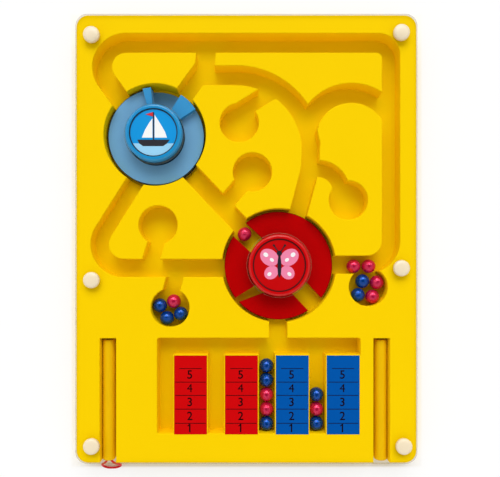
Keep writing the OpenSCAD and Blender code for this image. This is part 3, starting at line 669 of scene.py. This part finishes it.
def tone_and_shade_by_place(material, node, knob_r, gate, disc, painted_shade):
    tree = material.node_tree
    shader, layer = tree.nodes["Principled BSDF"], tree.nodes["Group"]
    low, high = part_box(node)
    middle = ((low.x + high.x) / 2, (low.y + high.y) / 2, 0)
    place = add_node(tree, "ShaderNodeTexCoord").outputs["Object"]
    rise = add_node(tree, "ShaderNodeSeparateXYZ", {0: place}).outputs["Z"]
    plan = add_node(tree, "ShaderNodeVectorMath", {0: place, 1: (1, 1, 0)}, operation="MULTIPLY")
    reach = add_node(tree, "ShaderNodeVectorMath", {0: plan.outputs[0], 1: middle},
                     operation="DISTANCE").outputs["Value"]
    proud = maths(tree, "GREATER_THAN", rise, COVER_Z)
    raised = maths(tree, "GREATER_THAN", rise, GATE_Z)
    # These two masks paint shade on the disc's rim, for the gap round it, and on the knob's shaft.
    outer = maths(tree, "GREATER_THAN", reach, (high.x - low.x) / 2 - PAINTED_SHADE_RIM)
    shaded_shaft = maths(tree, "LESS_THAN", reach, knob_r + SHADED_SHAFT_PAST)
    knob = layer.inputs["Colour"].default_value[:]
    level = pick_colour(tree, raised, disc, gate)
    shaded_level = pick_colour(tree, maths(tree, "MAXIMUM", outer, shaded_shaft), level, painted_shade)
    tree.links.new(pick_colour(tree, proud, shaded_level, knob), layer.inputs["Colour"])
    tree.links.new(maths(tree, "MULTIPLY", proud, KNOB_POLISH), shader.inputs["Coat Weight"])
    print(node, "axis at", middle)


# The dark tone is painted shade, and the blue disc's pale tone is partly a painted haze of the
# cover's reflection.
tone_and_shade_by_place(blue_plastic, "blue_turntable", BLUE_KNOB_R, gate=ink(58, 148, 204),
              disc=ink(112, 167, 208), painted_shade=ink(22, 46, 70))
tone_and_shade_by_place(red_plastic, "red_turntable", RED_KNOB_R, gate=ink(184, 2, 4),
              disc=ink(184, 2, 4), painted_shade=ink(96, 2, 4))

# %% Paint the solids that stay
STAYING = {
    "blue_turntable": blue_plastic, "red_turntable": red_plastic,
    "blue_picture_plate": blue_print, "red_picture_plate": red_print,
    "blue_pivot": steel, "red_pivot": steel, "cover_screws": steel,
    "left_pen": pen_paint, "right_pen": pen_paint,
    "left_pen_magnet": magnet_grey, "right_pen_magnet": magnet_grey,
}
for node, paint in STAYING.items():
    paint_node(node, paint)
print("painted:", len(STAYING), "solids")

# %% [markdown]
# The clear cover
# The cover is a sheet of clear acrylic. Straight through it nearly nothing shows, while at a low
# angle it mirrors the room, and its sawn edges take on the colours round them. Real refraction
# would be slow and would hide the balls in a mirror of noise, so the sheet is mostly see-through
# and its Alpha rises with the viewing angle. The edges of its holes and its outer rim each have a
# finish of their own, whose fixed tints are a painted reflection of the colours round them.

# %% Clear finishes
CLEAR_DRIFT, CLEAR_GLOSS_DRIFT, CLEAR_PATCH = 0.05, 0.06, 25
GRAZE_BLEND, GRAZE_POWER = 0.5, 4.0


def clear_finish(name, colour, facing, grazing, gloss):
    material = bpy.data.materials.new(name)
    material.use_nodes = True
    tree = material.node_tree
    shader = tree.nodes["Principled BSDF"]
    smear = add_node(tree, "ShaderNodeGroup", node_tree=skin)
    for socket, value in (("Colour", colour), ("Tone Drift", CLEAR_DRIFT), ("Gloss", gloss),
                          ("Gloss Drift", CLEAR_GLOSS_DRIFT), ("Patch Scale", CLEAR_PATCH)):
        smear.inputs[socket].default_value = value
    weight = add_node(tree, "ShaderNodeLayerWeight", {"Blend": GRAZE_BLEND})
    lean = maths(tree, "POWER", weight.outputs["Facing"], GRAZE_POWER)
    veil = add_node(tree, "ShaderNodeMapRange",
                    {"Value": lean, "To Min": facing, "To Max": grazing})
    tree.links.new(smear.outputs["Colour"], shader.inputs["Base Color"])
    tree.links.new(smear.outputs["Roughness"], shader.inputs["Roughness"])
    tree.links.new(veil.outputs["Result"], shader.inputs["Alpha"])
    return material


clear_sheet = clear_finish("clear_sheet", ink(30, 34, 34), facing=0.0, grazing=0.45, gloss=0.06)
# The tints of the hole edges and the outer rim are painted reflection of the colours round them.
clear_hole = clear_finish("clear_hole", ink(150, 150, 116), facing=0.3, grazing=0.08, gloss=0.18)
clear_rim = clear_finish("clear_rim", ink(150, 128, 40), facing=0.3, grazing=0.6, gloss=0.18)

# %% Ease the cover
cover_low, cover_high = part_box("clear_cover")
COVER_EASE, COVER_LIFT, COVER_FLAT = 0.3 * MM, 0.02 * MM, 0.99
RIM_IN, CORNER_IN = 2 * MM, 10 * MM
SHEET, HOLE, RIM = range(3)
cover = eased_copy("clear_cover", "cover_sheet", "board",
                   [clear_sheet, clear_hole, clear_rim], COVER_EASE, [cover_low.z, cover_high.z])


def near_side(place, inset):
    return abs(place.x) > cover_high.x - inset, abs(place.y) > cover_high.y - inset


for polygon in cover.data.polygons:
    outer = any(near_side(polygon.center, RIM_IN)) or all(near_side(polygon.center, CORNER_IN))
    level = abs(polygon.normal.z) > COVER_FLAT
    polygon.material_index = SHEET if level else RIM if outer else HOLE
for vertex in cover.data.vertices:
    if vertex.co.z < cover_low.z + COVER_LIFT:
        vertex.co.z = cover_low.z + COVER_LIFT

# %% [markdown]
# The studio
# The board lies on a white table. A wide key light stands far beyond its upper edge, so shadows
# fall softly towards the lower edge and the paint is equally bright all over. Two smaller lights
# at its sides give each ball a pair of highlights. The room is white, most of all on the lower
# side, which fills the shadows. A dark patch overhead, behind the camera, keeps the cover clear.
# The table looks pure white only from a little past the board's edge, so the true shadow stays
# close to the board.

# %% Table
TABLE_GLOW, GLOW_FROM, GLOW_FULL = 0.72, 8.2 * MM, 9.8 * MM
TABLE_HALF, TABLE_DROP = 3.0, 0.05 * MM
table_paint = finish("table_paint", ink(252, 252, 252), drift=0.01, gloss=0.8, gloss_drift=0.02,
                     patch=4, peel=300, depth=0.0, shine=0.1)
tree = table_paint.node_tree
ray = add_node(tree, "ShaderNodeLightPath")
seen = maths(tree, "MAXIMUM", ray.outputs["Is Camera Ray"], ray.outputs["Is Glossy Ray"])
seen = maths(tree, "MAXIMUM", seen, ray.outputs["Is Transmission Ray"])
place = add_node(tree, "ShaderNodeTexCoord").outputs["Object"]
across = add_node(tree, "ShaderNodeSeparateXYZ", {0: place}).outputs
past_x, past_y = (maths(tree, "SUBTRACT", maths(tree, "ABSOLUTE", across[axis]), side)
                  for axis, side in (("X", base_high.x), ("Y", base_high.y)))
fade = add_node(tree, "ShaderNodeMapRange",
                {"Value": maths(tree, "MAXIMUM", past_x, past_y), "From Min": GLOW_FROM,
                 "From Max": GLOW_FULL, "To Min": 0.0, "To Max": TABLE_GLOW})
share = maths(tree, "MULTIPLY", seen, fade.outputs["Result"])
glow = add_node(tree, "ShaderNodeEmission", {"Color": (1, 1, 1, 1), "Strength": 1.0})
blend = add_node(tree, "ShaderNodeMixShader", {0: share})
tree.links.new(tree.nodes["Principled BSDF"].outputs[0], blend.inputs[1])
tree.links.new(glow.outputs[0], blend.inputs[2])
tree.links.new(blend.outputs[0], tree.nodes["Material Output"].inputs["Surface"])
bm = bmesh.new()
bmesh.ops.create_grid(bm, x_segments=1, y_segments=1, size=TABLE_HALF)
bmesh.ops.translate(bm, verts=bm.verts, vec=(0, 0, -TABLE_DROP))
table_mesh = bpy.data.meshes.new("table")
bm.to_mesh(table_mesh)
bm.free()
table_mesh.materials.append(table_paint)
table = bpy.data.objects.new("table", table_mesh)
bpy.context.collection.objects.link(table)
print("table:", table.dimensions[:])

# %% Lamps and room
LAMPS = {
    "key": dict(level=0.33, spread=40, rise=41, turn=0),
    "side_left": dict(level=0.06, spread=22, rise=41, turn=42),
    "side_right": dict(level=0.06, spread=22, rise=41, turn=-42),
}
for name, beam in LAMPS.items():
    spread, rise, turn = (math.radians(beam[key]) for key in ("spread", "rise", "turn"))
    lamp_data = bpy.data.lights.new(name, "SUN")
    lamp_data.angle = spread
    lamp_data.energy = beam["level"] * math.pi / math.sin(rise)
    lamp = bpy.data.objects.new(name, lamp_data)
    lamp.rotation_euler = (rise - math.pi / 2, 0, turn)
    bpy.context.collection.objects.link(lamp)

ROOM_LEVEL, ROOM_TILT = 0.72, -0.4
DARK_LEVEL, DARK_FROM, DARK_FULL = 0.03, 0.87, 0.95
room = bpy.data.worlds.new("room")
room.use_nodes = True
scene.world = room
tree = room.node_tree
aim = add_node(tree, "ShaderNodeTexCoord").outputs["Generated"]
lean = add_node(tree, "ShaderNodeSeparateXYZ", {0: aim}).outputs
level = add_node(tree, "ShaderNodeMapRange",
                 {"Value": lean["Z"], "From Min": DARK_FROM, "From Max": DARK_FULL,
                  "To Min": ROOM_LEVEL, "To Max": DARK_LEVEL})
tilt = maths(tree, "MULTIPLY_ADD", lean["Y"], ROOM_TILT, 1.0)
shade = maths(tree, "MULTIPLY", level.outputs["Result"], tilt)
tree.nodes["Background"].inputs["Color"].default_value = (1, 1, 1, 1)
tree.links.new(shade, tree.nodes["Background"].inputs["Strength"])
print("lamps:", len(LAMPS), "room:", ROOM_LEVEL)
